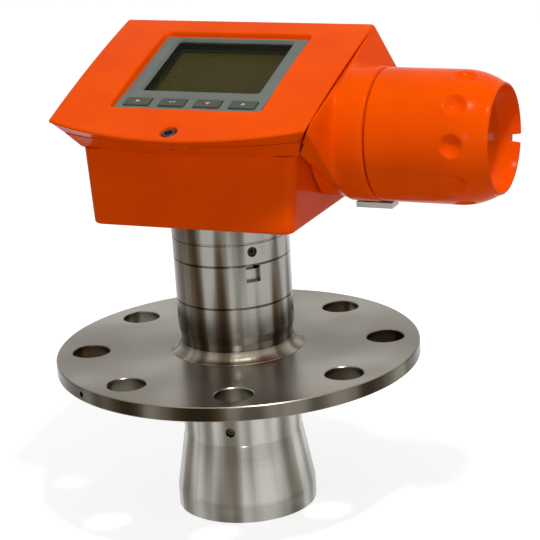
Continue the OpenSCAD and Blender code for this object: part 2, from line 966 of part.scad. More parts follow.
// Opening for the bezel, flared towards the face
module bezel_opening() {
    gap = run_gap;
    translate([0, -bezel_down, 0])
        round_plate(bezel_w + 2 * gap, bezel_l + 2 * gap, 3, -plate_t - 1, plate_t + 3);
    hull() {
        translate([0, -bezel_down, 0])
            round_plate(bezel_w + 2 * gap, bezel_l + 2 * gap, 3, -bezel_sink - 0.4, eps);
        translate([0, -bezel_down + 3, 0])
            round_plate(bezel_w + 4.4, bezel_l + 8.4, 3, 3, eps);
    }
}

module cover_knuckles() {
    on_face()
        for (u = [-hinge_u, hinge_u])
            translate([u, hinge_v, part_w]) {
                rotate([0, 90, 0])
                    cylinder(h = 12, r = knuckle_r, center = true, $fn = 48);
                translate([-6, -7, 0.6])
                    cube([12, 7, knuckle_r - 0.6]);
            }
}

module display_bezel() {
    lcd_top_w = bezel_w0 - 1.4;
    color([0.45, 0.47, 0.45])
        on_face()
            difference() {
                union() {
                    translate([0, -bezel_down, 0])
                        round_plate(bezel_w, bezel_l, 2.5, bezel_back + 0.5, bezel_w0 - bezel_back - 0.5);
                    translate([0, -bezel_down, 0])
                        round_plate(bezel_w + 2 * flange_grip, bezel_l + 2 * flange_grip, 3, bezel_back, 1.7);
                    for (x = [-1, 1], v = [-22, 26])
                        translate([x * (bezel_w / 2 - 2.6), v, board_w0])
                            cylinder(h = bezel_back - board_w0 + 1, r = 1.8, $fn = 32);
                }
                translate([0, lcd_v, 0]) {
                    round_plate(lcd_w, lcd_l, 1.5, bezel_back - 1, 20);
                    round_plate(lcd_w + 3, lcd_l + 3, 1.5, bezel_back - 1, glass_w0 - bezel_back + 1);
                    hull() {
                        round_plate(lcd_w, lcd_l, 1.5, lcd_top_w, eps);
                        round_plate(lcd_w + 3, lcd_l + 3, 2.2, bezel_w0 + 0.1, eps);
                    }
                }
                for (i = [0 : 3])
                    translate([key_u(i), key_v, 0])
                        round_plate(key_w + 2 * run_gap, key_l + 2 * run_gap, 0.8, bezel_back - 1, 20);
            }
}

function key_u(i) = (i - 1.5) * key_pitch;

module window_glass() {
    color([0.7, 0.75, 0.7, 0.35])
        on_face()
            translate([0, lcd_v, 0])
                round_plate(lcd_w + 3 - 2 * fit_gap, lcd_l + 3 - 2 * fit_gap, 1.4,
                    glass_w0 - fit_gap - glass_t, glass_t);
}

module lcd_module() {
    color([0.22, 0.2, 0.08])
        on_face()
            translate([0, lcd_v, 0]) {
                round_plate(lcd_w + 5, lcd_l + 4, 0.8, lcd_top - lcd_t, lcd_t);
            }
}

module display_board() {
    color([0.1, 0.32, 0.16])
        on_face()
            translate([0, -bezel_down + 0.5, board_w0 - board_t])
                translate([-bezel_w / 2 + 0.5, -bezel_l / 2 + 1, 0])
                    cube([bezel_w - 1, bezel_l - 2, board_t]);
    color([0.7, 0.7, 0.7])
        on_face()
            for (i = [0 : 3])
                translate([key_u(i), key_v, board_w0 - 0.1])
                    cylinder(h = dome_h + 0.1, r = 2, $fn = 32);
}

module cover_screw() {
    color([0.35, 0.33, 0.32])
        on_cover_screw()
            translate([0, 0, -4.3])
                difference() {
                    union() {
                        cylinder(h = 3.2, d = 7, $fn = 48);
                        translate([0, 0, -3.4])
                            cylinder(h = 4, d = 4, $fn = 32);
                    }
                    translate([0, 0, 1.4])
                        cylinder(h = 3, r = 1.9, $fn = 6);
                }
}

module key_cap(i) {
    top = bezel_w0 + key_proud;
    color([0.32, 0.34, 0.3])
        on_face()
            translate([key_u(i), key_v, 0]) {
                round_plate(key_w, key_l, 0.7, bezel_back - 0.8, top - bezel_back + 0.8);
                round_plate(key_w + 2.4, key_l + 2, 0.7, bezel_back - 1.3, 1.1);
                round_plate(5, 3.4, 0.5, board_w0 + dome_h + key_travel + 0.1,
                    bezel_back - board_w0 - dome_h - key_travel - 0.6);
            }
}

module key_1() { key_cap(0); }
module key_2() { key_cap(1); }
module key_3() { key_cap(2); }
module key_4() { key_cap(3); }

// ---------------------------------------------------------------- terminal cap

module cap_o_ring() {
    color([0.1, 0.1, 0.1])
        on_cap_axis(cap_x + 1.7)
            rotate_extrude($fn = 96)
                translate([cap_thread_r + run_gap + 1, 0])
                    circle(1, $fn = 32);
}

// Half section of the cap's outside: a skirt and a shoulder that rounds over into the end
module cap_outline() {
    sweep = asin((cap_shoulder - 2) / cap_shoulder_r);
    polygon(concat(
        [[0, 0], [cap_r - 0.8, 0], [cap_r, 0.8]],
        [for (i = [0 : 5])
            let (a = i * sweep / 5)
            [cap_r - cap_shoulder_r * (1 - cos(a)), cap_l - cap_shoulder + cap_shoulder_r * sin(a)]],
        [[cap_r - cap_shoulder_r * (1 - cos(sweep)) - 1.4, cap_l], [0, cap_l]]
    ));
}

// Half section of the cap's hollow: thread bore, sealing recess and inner space
module cap_hollow() {
    bore_r = cap_thread_r + run_gap;
    end_x = cap_l - pocket_depth - cap_wall;
    translate([0, -1])
        square([bore_r + 2.2, 4.2]);
    square([bore_r, cap_thread_l + 1]);
    polygon([
        [0, cap_thread_l], [bore_r, cap_thread_l], [bore_r, cap_thread_l + 1],
        [bore_r - 0.6, cap_thread_l + 2], [bore_r - 0.6, end_x - 6],
        [bore_r - cap_wall - 2, end_x], [0, end_x],
    ]);
}

module terminal_cap() {
    floor_x = cap_l - pocket_depth;
    pocket_r = pocket_d / 2;
    color([0.92, 0.34, 0.05])
        on_cap_axis(cap_x)
            difference() {
                rotate_extrude($fn = 120)
                    difference() {
                        cap_outline();
                        cap_hollow();
                        polygon([[0, floor_x], [pocket_r - 2.4, floor_x], [pocket_r - 1.4, floor_x + 1],
                            [pocket_r, cap_l + 1], [0, cap_l + 1]]);
                    }
                for (i = [0 : dimple_count - 1])
                    rotate([0, 0, -6 + i * 360 / dimple_count])
                        translate([0, cap_r + 3.4, cap_l - cap_shoulder * 0.78])
                            sphere(6.6, $fn = 48);
                rotate([0, 0, -13])
                    translate([-2, pocket_r - 4, cap_l - 5])
                        cube([4.2, 20, 10]);
            }
}

module cap_lock_bar() {
    color([0.72, 0.71, 0.68])
        translate([0, 0, lock_top - lock_t])
            difference() {
                translate([lock_x - 5, -lock_w / 2, 0])
                    cube([lock_l, lock_w, lock_t - 0.2]);
                translate([lock_x, 0, -1])
                    cylinder(h = lock_t + 2, d = 4, $fn = 48);
                translate([lock_x, 0, -1])
                    cylinder(h = 3, d = 6.8, $fn = 48);
            }
}

horn_antenna();
horn_flare();
process_seal();
flange_plate();
flange_spigot();
weld_bead();
neck_tube();
horn_set_screw();
union_nut();
head_ring();
head_ring_screw();
head_housing();
terminal_collar();
cover_gasket();
hinge_pins();
microwave_module();
main_board();
terminal_block();
terminal_screws();
blanking_plug();
earth_screw();
cap_lock_screw();
head_cover();
display_bezel();
window_glass();
lcd_module();
display_board();
cover_screw();
key_1();
key_2();
key_3();
key_4();
cap_o_ring();
terminal_cap();
cap_lock_bar();
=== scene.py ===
"""Looks of a radar level transmitter: an orange head with an inclined display cover and a round
terminal compartment, on a stainless neck, process flange and horn antenna.

Lengths in this file are millimetres unless a name ends in _M; surface() turns them into metres.
"""

import json
import math

import bmesh
import bpy
import numpy as np
from mathutils import Matrix, Vector

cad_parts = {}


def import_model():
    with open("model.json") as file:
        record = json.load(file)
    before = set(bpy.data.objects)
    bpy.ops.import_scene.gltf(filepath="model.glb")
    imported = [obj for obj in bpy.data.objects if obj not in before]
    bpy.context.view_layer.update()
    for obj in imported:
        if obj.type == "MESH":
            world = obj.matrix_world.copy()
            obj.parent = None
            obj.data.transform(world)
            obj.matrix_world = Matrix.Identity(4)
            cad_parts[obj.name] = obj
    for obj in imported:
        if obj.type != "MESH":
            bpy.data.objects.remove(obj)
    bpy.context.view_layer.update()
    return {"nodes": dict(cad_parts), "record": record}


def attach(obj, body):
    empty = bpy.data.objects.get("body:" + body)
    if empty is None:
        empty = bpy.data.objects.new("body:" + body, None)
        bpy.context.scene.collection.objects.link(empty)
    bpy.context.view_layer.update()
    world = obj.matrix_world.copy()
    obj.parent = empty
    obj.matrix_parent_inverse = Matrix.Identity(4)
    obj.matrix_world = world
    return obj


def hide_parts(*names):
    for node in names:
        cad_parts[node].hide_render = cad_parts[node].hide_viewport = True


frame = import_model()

TAU = 2 * math.pi
MM = 0.001

# ------------------------------------------------------------------ sizes shared with the solids

FACE_TILT = math.radians(18.6)      # slope of the cover's face
FACE_Z = 153.5                      # height of the face above the neck's axis
AXIS_Z = 120.5                      # height of the terminal compartment's axis
MOUTH_Z = -76.3                     # lowest edge of the horn
SCREW_V = -64.2                     # the cover screw's line, up the slope of the face
KEY_V = -37.65                      # the row of keys, up the slope of the face
KEY_PLACES = (-27.9, -9.3, 9.3, 27.9)
HINGE_V, HINGE_W = 42.9, -8.7       # the cover's hinge line in the face's frame
HINGE_PLACES = (-30, 30)
HORN_SCREW_Z = -29.6
HORN_R = 30.2                       # outside of the horn's cylinder


# ------------------------------------------------------------------ shader maths

class Value:
    """A shader socket that takes part in arithmetic: each operator adds one Math node."""

    def __init__(self, finish, socket):
        self.finish = finish
        self.socket = socket

    def _math(self, operation, *terms):
        return self.finish.node("ShaderNodeMath", {"operation": operation}, *terms)

    def __add__(self, other): return self._math("ADD", self, other)
    def __radd__(self, other): return self._math("ADD", other, self)
    def __sub__(self, other): return self._math("SUBTRACT", self, other)
    def __rsub__(self, other): return self._math("SUBTRACT", other, self)
    def __mul__(self, other): return self._math("MULTIPLY", self, other)
    def __rmul__(self, other): return self._math("MULTIPLY", other, self)
    def __truediv__(self, other): return self._math("DIVIDE", self, other)
    def sqrt(self): return self._math("SQRT", self)

    def smooth(self, low, high):
        """0 below low, 1 above high, and a smooth step between them."""
        return self.finish.node("ShaderNodeMapRange", {"interpolation_type": "SMOOTHSTEP"},
                                self, low, high, 0.0, 1.0)


class Finish:
    """A material built on one Principled shader, with its nodes made by node()."""

    def __init__(self, name, **constants):
        self.material = bpy.data.materials.new(name)
        self.material.use_nodes = True
        self.tree = self.material.node_tree
        self.shader = next(n for n in self.tree.nodes if n.type == "BSDF_PRINCIPLED")
        for socket, value in constants.items():
            self.shader.inputs[socket.replace("_", " ")].default_value = value

    def node(self, kind, settings, *inputs, out=0, **named):
        """Adds a node: settings first, then values or links for its sockets, in order or by name."""
        made = self.tree.nodes.new(kind)
        for key, value in settings.items():
            if key == "stops":
                ramp = made.color_ramp
                while len(ramp.elements) > 1:
                    ramp.elements.remove(ramp.elements[-1])
                ramp.elements[0].position, ramp.elements[0].color = value[0]
                for position, colour in value[1:]:
                    ramp.elements.new(position).color = colour
            else:
                setattr(made, key, value)
        places = list(zip(made.inputs, inputs))
        places += [(made.inputs[int(k[1:]) if k[0] == "_" else k.replace("_", " ")], v) for k, v in named.items()]
        for socket, value in places:
            if isinstance(value, Value):
                self.tree.links.new(value.socket, socket)
            elif value is not None:
                socket.default_value = value
        return Value(self, made.outputs[out])

    def feed(self, socket, value):
        self.tree.links.new(value.socket, self.shader.inputs[socket])

    def place(self):
        """Object coordinates, in metres."""
        return self.node("ShaderNodeTexCoord", {}, out=3)

    def axes(self, vector):
        split = self.tree.nodes.new("ShaderNodeSeparateXYZ")
        self.tree.links.new(vector.socket, split.inputs[0])
        return [Value(self, o) for o in split.outputs]

    def combine(self, x, y, z):
        return self.node("ShaderNodeCombineXYZ", {}, x, y, z)

    def noise(self, vector, scale, detail=2.0, roughness=0.5):
        return self.node("ShaderNodeTexNoise", {}, Vector=vector, Scale=scale, Detail=detail, Roughness=roughness)

    def mix(self, factor, low, high):
        """Colour low where factor is 0, high where it is 1."""
        return self.node("ShaderNodeMix", {"data_type": "RGBA"}, out=2, _0=factor, _6=low, _7=high)

    def times(self, first, second):
        """Product of two colours."""
        return self.node("ShaderNodeMix", {"data_type": "RGBA", "blend_type": "MULTIPLY"}, out=2,
                         _0=1.0, _6=first, _7=second)

    def bump(self, height, distance, strength=1.0, edge=0.0):
        """Raises the surface by height times distance, over edges softened to the radius edge, all in metres."""
        soft = self.node("ShaderNodeBevel", {"samples": 6}, Radius=edge) if edge else None
        relief = self.node("ShaderNodeBump", {}, Strength=strength, Distance=distance, Height=height, Normal=soft)
        self.feed("Normal", relief)


def orange_enamel():
    """Glossy enamel on a casting: faint orange peel, slight cloudiness of tone, edges softened in the shading normal.
    """
    f = Finish("orange_enamel", IOR=1.08)
    at = f.place()
    cloud = f.noise(at, 38.0, 3.0)
    f.feed("Base Color", f.mix(cloud.smooth(0.3, 0.7), (0.82, 0.073, 0.0, 1), (0.88, 0.083, 0.0, 1)))
    f.feed("Roughness", 0.13 + 0.09 * f.noise(at, 120.0, 2.0))
    f.bump(f.noise(at, 700.0, 1.5), 0.00003, 0.35, 0.0011)
    return f.material


# Ramps from dark to light for the steel: painted reflection, the bands a polished surface mirrors from its
# surroundings, put into its base colour.
NECK_REFLECTION_TONES = [(0.0, (0.03, 0.022, 0.014)), (0.45, (0.08, 0.055, 0.035)), (0.72, (0.13, 0.125, 0.105)),
              (1.0, (0.30, 0.29, 0.265))]
HORN_REFLECTION_TONES = [(0.0, (0.13, 0.115, 0.09)), (0.5, (0.25, 0.245, 0.22)), (1.0, (0.44, 0.43, 0.40))]
PLATE_REFLECTION_TONES = [(0.0, (0.13, 0.108, 0.08)), (0.5, (0.20, 0.18, 0.145)), (1.0, (0.32, 0.30, 0.255))]


def toned(f, share, tones):
    """Colour ramp over share, from dark to light."""
    return f.node("ShaderNodeValToRGB", {"stops": [(at, tone + (1,)) for at, tone in tones]}, share)


def streaks(f, x, y, z, tones):
    """Irregular painted reflection streaks along the Z axis: noise over the direction round the axis, drifting with
    height, through a ramp of dark and light reflection tones.
    """
    radius = (x * x + y * y).sqrt()
    band = f.noise(f.combine(x / radius, y / radius, z * 1.5), 3.2, 1.5, 0.5)
    return toned(f, band.smooth(0.34, 0.66), tones)


def turned_steel(name, tones, gain=(1, 1, 1), rings=900.0, rough=0.2):
    """Lathe-turned stainless steel: fine rings along Z, irregular painted reflection streaks along the axis, slow drift
    of tone.
    """
    f = Finish(name, Metallic=1.0)
    at = f.place()
    x, y, z = f.axes(at)
    reflection_streak = f.times(streaks(f, x, y, z, tones), gain + (1,))
    line = f.noise(f.combine(0.0, 0.0, z), rings, 3.0, 0.7)
    drift = f.noise(at, 22.0, 3.0)
    f.feed("Base Color", f.mix(0.6 * line + 0.4 * drift, f.times(reflection_streak, (0.74, 0.73, 0.71, 1)),
                               f.times(reflection_streak, (1.2, 1.2, 1.2, 1))))
    f.feed("Roughness", rough + 0.1 * line + 0.1 * drift - 0.08)
    f.bump(line, 0.00003, 0.5, 0.0004)
    return f.material


def faced_steel(name, rings, rough=0.3):
    """Faced stainless plate: circular tool marks round the Z axis over cloudy tones, which are blotches of painted
    reflection; its rim and the walls of its holes, which lie between the two faces, are darkened by half as painted
    shade and carry painted reflection streaks."""
    f = Finish(name, Metallic=1.0)
    at = f.place()
    x, y, z = f.axes(at)
    line = f.noise(f.combine((x * x + y * y).sqrt(), 0.0, z), rings, 3.0, 0.7)
    drift = f.noise(at, 14.0, 4.0)
    # Cloudy plate tones: blotches of painted reflection in the base colour.
    plate = toned(f, f.noise(at, 11.0, 2.0).smooth(0.32, 0.68), PLATE_REFLECTION_TONES)
    face = f.mix(0.4 * line + 0.6 * drift, f.times(plate, (0.72, 0.71, 0.68, 1)), f.times(plate, (1.25, 1.25, 1.25, 1)))
    # Rim and hole walls: painted reflection streaks, darkened to half as painted shade.
    wall = f.times(streaks(f, x, y, z, NECK_REFLECTION_TONES), (0.5, 0.47, 0.4, 1))
    between = z.smooth(0.0001, 0.0003) * (1 - z.smooth(0.0069, 0.0072))
    f.feed("Base Color", f.mix(between, face, wall))
    f.feed("Roughness", rough + 0.12 * line + 0.16 * drift - 0.14)
    f.bump(line, 0.00003, 0.15, 0.0004)
    return f.material


def plain(name, colour, roughness, metallic=0.0, grain=1500.0, depth=0.00003, **more):
    """Moulded or plated surface with a fine grain."""
    f = Finish(name, Metallic=metallic, **more)
    at = f.place()
    cloud = f.noise(at, 60.0, 3.0)
    dark = tuple(c * 0.86 for c in colour) + (1,)
    f.feed("Base Color", f.mix(cloud.smooth(0.3, 0.7), dark, colour + (1,)))
    f.feed("Roughness", roughness + 0.08 * cloud - 0.04)
    f.bump(f.noise(at, grain, 2.0), depth, 0.5, 0.0003)
    return f.material


def window_glass():
    """Clear window: nearly all see-through, with a faint plain reflection."""
    f = Finish("window_clear", Base_Color=(0.02, 0.018, 0.004, 1), Roughness=0.03, IOR=1.4,
               Alpha=0.14, Specular_IOR_Level=0.08)
    return f.material


FINISHES = {
    "orange_paint": orange_enamel(),
    "steel_turned": turned_steel("steel_turned", NECK_REFLECTION_TONES),
    "steel_horn": turned_steel("steel_horn", HORN_REFLECTION_TONES),
    "steel_flange": faced_steel("steel_faced", 500.0),
    "steel_weld": turned_steel("steel_weld", HORN_REFLECTION_TONES, (0.72, 0.66, 0.56), 500.0, 0.36),
    "steel_clip": plain("steel_clip", (0.30, 0.29, 0.26), 0.3, 1.0),
    "ptfe": plain("ptfe_white", (0.85, 0.85, 0.82), 0.45),
    "screw_dark": plain("screw_dark", (0.05, 0.043, 0.035), 0.4, 1.0),
    "black_rubber": plain("rubber_black", (0.02, 0.02, 0.02), 0.75),
    "module_metal": plain("module_metal", (0.42, 0.42, 0.44), 0.35, 1.0),
    "circuit_board": plain("solder_mask", (0.01, 0.1, 0.035), 0.35),
    "terminal_plastic": plain("terminal_plastic", (0.03, 0.035, 0.03), 0.5),
    "plated_screw": plain("plated_screw", (0.42, 0.41, 0.38), 0.25, 1.0),
    "brass_screw": plain("brass_screw", (0.42, 0.29, 0.10), 0.3, 1.0),
    "grey_plastic": plain("bezel_grey", (0.155, 0.172, 0.152), 0.5, Specular_IOR_Level=0.1),
    "key_plastic": plain("key_dark", (0.082, 0.088, 0.064), 0.55, Specular_IOR_Level=0.1),
    "lcd": plain("lcd_olive", (0.062, 0.051, 0.004), 0.3, depth=0.000004, Specular_IOR_Level=0.05),
    "window": window_glass(),
}
# Near-black sheet inside the display window: painted shade of its recess.
WINDOW_PAINTED_SHADE = plain("window_painted_shade", (0.007, 0.008, 0.005), 0.6, Specular_IOR_Level=0.1)
KEY_PRINT = plain("key_print", (0.42, 0.43, 0.40), 0.5)

OWN_FINISHES = {"horn_antenna": "steel_horn", "horn_flare": "steel_horn", "cap_lock_bar": "steel_clip",
                "blanking_plug": "steel_clip"}

for part in frame["record"]["subparts"]:
    piece = frame["nodes"][part["node"]]
    piece.data.materials.clear()
    piece.data.materials.append(FINISHES[OWN_FINISHES.get(part["node"], part["material_slot"])])


# ------------------------------------------------------------------ surfaces

def on_face(u, v, w):
    """Points of the cover's sloping frame, u across, v up the slope and w out of the face, in the part's frame."""
    u, v, w = np.broadcast_arrays(*(np.asarray(a, float) for a in (u, v, w)))
    c, s = math.cos(FACE_TILT), math.sin(FACE_TILT)
    return np.stack([u, v * c - w * s, FACE_Z + v * s + w * c], -1)


def surface(name, body, grids, slot=None, finish=None, replaces=(), sharp=38):
    """One mesh from grids of points in millimetres.

    Each grid has the shape rows x columns x 3. Its columns close on themselves, and a first or last row whose
    points coincide becomes a pole. A grid whose rows close on themselves too ends with its first row again.
    """
    points, faces, start = [], [], 0
    for grid in grids:
        rows, cols = grid.shape[:2]
        index = start + np.arange(rows * cols).reshape(rows, cols)
        after = np.roll(index, -1, axis=1)
        faces.append(np.stack([index[:-1], after[:-1], after[1:], index[1:]], -1).reshape(-1, 4))
        points.append(grid.reshape(-1, 3))
        start += rows * cols
    mesh = bpy.data.meshes.new(name)
    mesh.from_pydata((np.concatenate(points) * MM).tolist(), [], np.concatenate(faces).tolist())
    work = bmesh.new()
    work.from_mesh(mesh)
    bmesh.ops.remove_doubles(work, verts=work.verts, dist=2e-6)
    bmesh.ops.dissolve_degenerate(work, edges=work.edges, dist=1e-7)
    bmesh.ops.recalc_face_normals(work, faces=work.faces)
    work.to_mesh(mesh)
    work.free()
    mesh.shade_smooth()
    mesh.set_sharp_from_angle(angle=math.radians(sharp))
    made = bpy.data.objects.new(name, mesh)
    bpy.context.collection.objects.link(made)
    mesh.materials.append(finish or FINISHES[slot])
    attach(made, body)
    if replaces:
        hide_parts(*replaces)
    return made


def along(stations, spacing):
    """Points on a polyline of stations, no further apart than spacing, with every station kept."""
    stations = np.asarray(stations, float)
    steps = np.maximum(1, np.ceil(np.linalg.norm(np.diff(stations, axis=0), axis=1) / spacing)).astype(int)
    parts = [np.linspace(a, b, n, endpoint=False) for a, b, n in zip(stations[:-1], stations[1:], steps)]
    return np.concatenate(parts + [stations[-1:]])


def smooth(value, low, high):
    """0 below low, 1 above high, a cubic step between."""
    t = np.clip((value - low) / (high - low), 0, 1)
    return t * t * (3 - 2 * t)


def closest(a, b, blend):
    """The smaller of a and b, with the corner between them rounded over the width blend."""
    h = np.clip(0.5 + 0.5 * (b - a) / blend, 0, 1)
    return b * (1 - h) + a * h - blend * h * (1 - h)


def rounded(width, length, radius, centre=(0, 0), straight=24, corner=8):
    """Rounded rectangle as columns of (u, v): bottom edge, right, top, left, each followed by its corner.

    An edge point is a point of the inner rectangle, moved out by the radius along the edge's normal; a corner
    point is the inner corner, moved out by the radius along a normal that turns a quarter.
    """
    a, b = width / 2 - radius, length / 2 - radius
    inner = [(-a, -b), (a, -b), (a, b), (-a, b)]
    base, normal = [], []
    for k in range(4):
        p, q = np.array(inner[k]), np.array(inner[(k + 1) % 4])
        at = np.linspace(0, 1, straight, endpoint=False)[:, None]
        base += [p + (q - p) * at, np.tile(q, (corner, 1))]
        angle = -math.pi / 2 + k * math.pi / 2
        normal += [np.full(straight, angle), np.linspace(angle, angle + math.pi / 2, corner, endpoint=False)]
    base, normal = np.concatenate(base), np.concatenate(normal)
    return base + radius * np.stack([np.cos(normal), np.sin(normal)], -1) + np.array(centre)


# ------------------------------------------------------------------ horn, weld and seams

def turned_stack(section, th=192, shape=None):
    """Half section of (z, r) carried round the Z axis over th angles; shape changes the heights and radii."""
    section = np.asarray(section, float)
    th = np.linspace(0, TAU, th, endpoint=False) if isinstance(th, int) else th
    z, r = section[:, :1] + 0 * th, section[:, 1:] + 0 * th
    if shape is not None:
        z, r = shape(th[None, :], z, r)
    return np.stack([r * np.cos(th), r * np.sin(th), z], -1)


def horn():
    """Horn antenna in one wall: cylinder, flare and straight rim outside, the throat and the flare inside. The
    cylinder sinks by 3.4 mm, over a smooth step in the distance to the screw's line, into the hole of its screw."""
    top = [(0.0, 21.8), (0.0, 29.6), (-0.2, 30.0), (-0.6, HORN_R), (-18.0, HORN_R)]
    hole = [(-z, HORN_R) for z in np.arange(27.0, 32.3, 0.2)]
    flare = [(-36.8, HORN_R), (-37.0, 30.3), (-37.3, 30.42), (-50.0, 32.65), (-65.6, 35.38), (-66.2, 35.46),
             (-66.6, 35.5), (-75.8, 35.5), (-76.15, 35.4), (MOUTH_Z, 35.1)]
    inside = [(MOUTH_Z, 33.5), (-76.15, 33.2), (-75.9, 33.1), (-66.0, 33.1), (-37.0, 21.8), (-20.0, 21.8),
              (0.0, 21.8)]
    screw = math.radians(-78)
    near = np.arange(-0.09, 0.0901, 0.0066)
    rest = np.linspace(0.11, TAU - 0.11, 180)
    th = screw + np.concatenate([near, rest])

    def sunk(angle, z, r):
        gap = np.hypot((np.mod(angle - screw + math.pi, TAU) - math.pi) * HORN_R, z - HORN_SCREW_Z)
        return z, r - 3.4 * (1 - smooth(gap, 1.95, 2.35)) * (r > 30) * (z < -20) * (z > -35)

    return surface("horn_dressed", "process", [turned_stack(top + hole + flare + inside, th, sunk)],
                   finish=FINISHES["steel_horn"], replaces=("horn_antenna", "horn_flare"), sharp=25)


def weld_bead():
    """Fillet weld at the neck's foot: a hollow fillet with the low overlapping scales of a hand-laid bead."""
    a = np.linspace(0, math.pi / 2, 9)
    foot = 28.45
    arc = np.stack([7.4 + 5 * (1 - np.cos(a)) + 0.05, foot + 5 * (1 - np.sin(a)) + 0.5], -1)
    arc[0, 0] = 7.4
    section = np.concatenate([[(7.4, foot)], arc, [(12.45, foot)], [(7.4, foot)]])

    def scales(th, z, r):
        body = smooth(r, foot + 0.2, foot + 1.2) * (1 - smooth(r, foot + 4.6, foot + 5.5))
        wave = np.abs(np.sin(th * 36 + 1.5 * (r - foot) / 5))
        return z + 0.04 * wave * body, r + 0.04 * wave * body

    return surface("weld_dressed", "process", [turned_stack(section, 360, scales)], "steel_weld",
                   replaces=("weld_bead",), sharp=60)


def seam_ring(z):
    """Thin shim that shows just below the surface in a seam of the neck."""
    return turned_stack([(z, 27.0), (z, 29.22), (z + 0.04, 29.28), (z + 0.22, 29.28), (z + 0.26, 29.22),
                         (z + 0.26, 27.0), (z, 27.0)])


horn()
weld_bead()
surface("neck_seams", "process", [seam_ring(34.82), seam_ring(56.72)], "steel_turned", sharp=30)


# ------------------------------------------------------------------ terminal cap

CAP_X, CAP_L, CAP_R = 86.3, 58.8, 32.1
SHOULDER, SHOULDER_R = 20.0, 34.0
POCKET_R, POCKET_DEPTH = 24.0, 9.0


def terminal_cap():
    """Screw cap, turned round its own axis.

    The half section runs from the mouth over the skirt and the shoulder into the end recess, which is a bowl,
    and back along the inside. The radius at a dimple is the smaller of the shoulder's radius and that of a
    ball sunk into it, blended; the slot lowers the rim where the point lies within the slot's width; a short
    cast rib stands on the skirt behind the groove.
    """
    sweep = math.asin((SHOULDER - 2) / SHOULDER_R)
    a = np.linspace(0, sweep, 34)
    curve = np.stack([CAP_L - SHOULDER + SHOULDER_R * np.sin(a), CAP_R - SHOULDER_R * (1 - np.cos(a))], -1)
    top_r = curve[-1, 1]
    turn = np.linspace(0, math.pi / 2, 7)[1:]
    lip = np.stack([CAP_L - 2 + 2 * np.sin(turn) * 0.999, top_r - 0.75 * (1 - np.cos(turn)) - 0.35 * np.sin(turn)], -1)
    bowl_t = np.linspace(0, 1, 26)[1:]
    rim_r = lip[-1, 1] - 0.9
    floor_r = 16.5
    bowl = np.stack([CAP_L - 0.5 - (POCKET_DEPTH - 0.5) * smooth(bowl_t, -0.25, 1.0),
                     rim_r - (rim_r - floor_r) * (0.25 * bowl_t + 0.75 * bowl_t ** 2.4)], -1)
    inner_x = CAP_L - POCKET_DEPTH - 3.2
    ridge = np.arange(1.2, 10.5, 0.5)
    threads = np.stack([13.0 - ridge, 28.9 - 0.7 * (0.5 + 0.5 * np.cos(TAU * (ridge - 1.2) / 1.5))], -1)
    section = np.concatenate([
        along([(3.2, 31.1), (0.0, 31.1), (0.0, 31.5), (0.2, 31.9), (0.6, CAP_R), tuple(curve[0])], 0.8),
        curve[1:], lip, [(CAP_L - 0.15, rim_r + 0.4)], bowl,
        along([(CAP_L - POCKET_DEPTH, floor_r - 1.5), (CAP_L - POCKET_DEPTH, 0.0)], 2.5)])
    inside = np.concatenate([
        along([(inner_x, 0.0), (inner_x, 23.0), (inner_x - 6, 28.3), (13.5, 28.3)], 3.0),
        threads, [(3.2, 28.9), (3.2, 31.1)]])
    around = np.sort(np.concatenate([np.linspace(0, TAU, 420, endpoint=False),
                                     math.radians(-103) + np.linspace(-0.12, 0.12, 33)]) % TAU)

    def turned(profile, shaped):
        s, r = profile[:, :1] + 0 * around, profile[:, 1:] + 0 * around
        th = around[None, :] + 0 * s
        if shaped:
            for k in range(10):
                centre = math.radians(-96 + 36 * k)
                off = (th - centre + math.pi) % TAU - math.pi
                side, lengthwise = r * np.sin(off), s - (CAP_L - SHOULDER * 0.78)
                room = np.maximum(6.6 ** 2 - side ** 2 - lengthwise ** 2, 0)
                ball = CAP_R + 3.4 - np.sqrt(room)
                near = (np.abs(off) < 0.5) & (room > 0) & (s < CAP_L - 1) & (r > 25)
                r = np.where(near, closest(r, ball, 0.7), r)
            off = (th - math.radians(-103) + math.pi) % TAU - math.pi
            cut = 1 - smooth(np.abs(r * np.sin(off)), 1.3, 2.2)
            cut = cut * (np.abs(off) < 1) * (r > 18)
            s = np.where(s > CAP_L - 5, s * (1 - cut) + (CAP_L - 5) * cut, s)
            off = (th - math.radians(116) + math.pi) % TAU - math.pi
            rib = np.exp(-(r * off / 0.7) ** 2) * smooth(s, 0.8, 1.6) * (1 - smooth(s, 7.2, 8.4)) * (s < 12)
            r = r + 0.5 * rib * (r > 31.6)
        return np.stack([CAP_X + s, -r * np.sin(th), AXIS_Z + r * np.cos(th)], -1)

    return surface("cap_dressed", "cap", [turned(section, True), turned(inside, False)], "orange_paint",
                   replaces=("terminal_cap",))


terminal_cap()


# ------------------------------------------------------------------ display cover

COVER_T = 0.4856


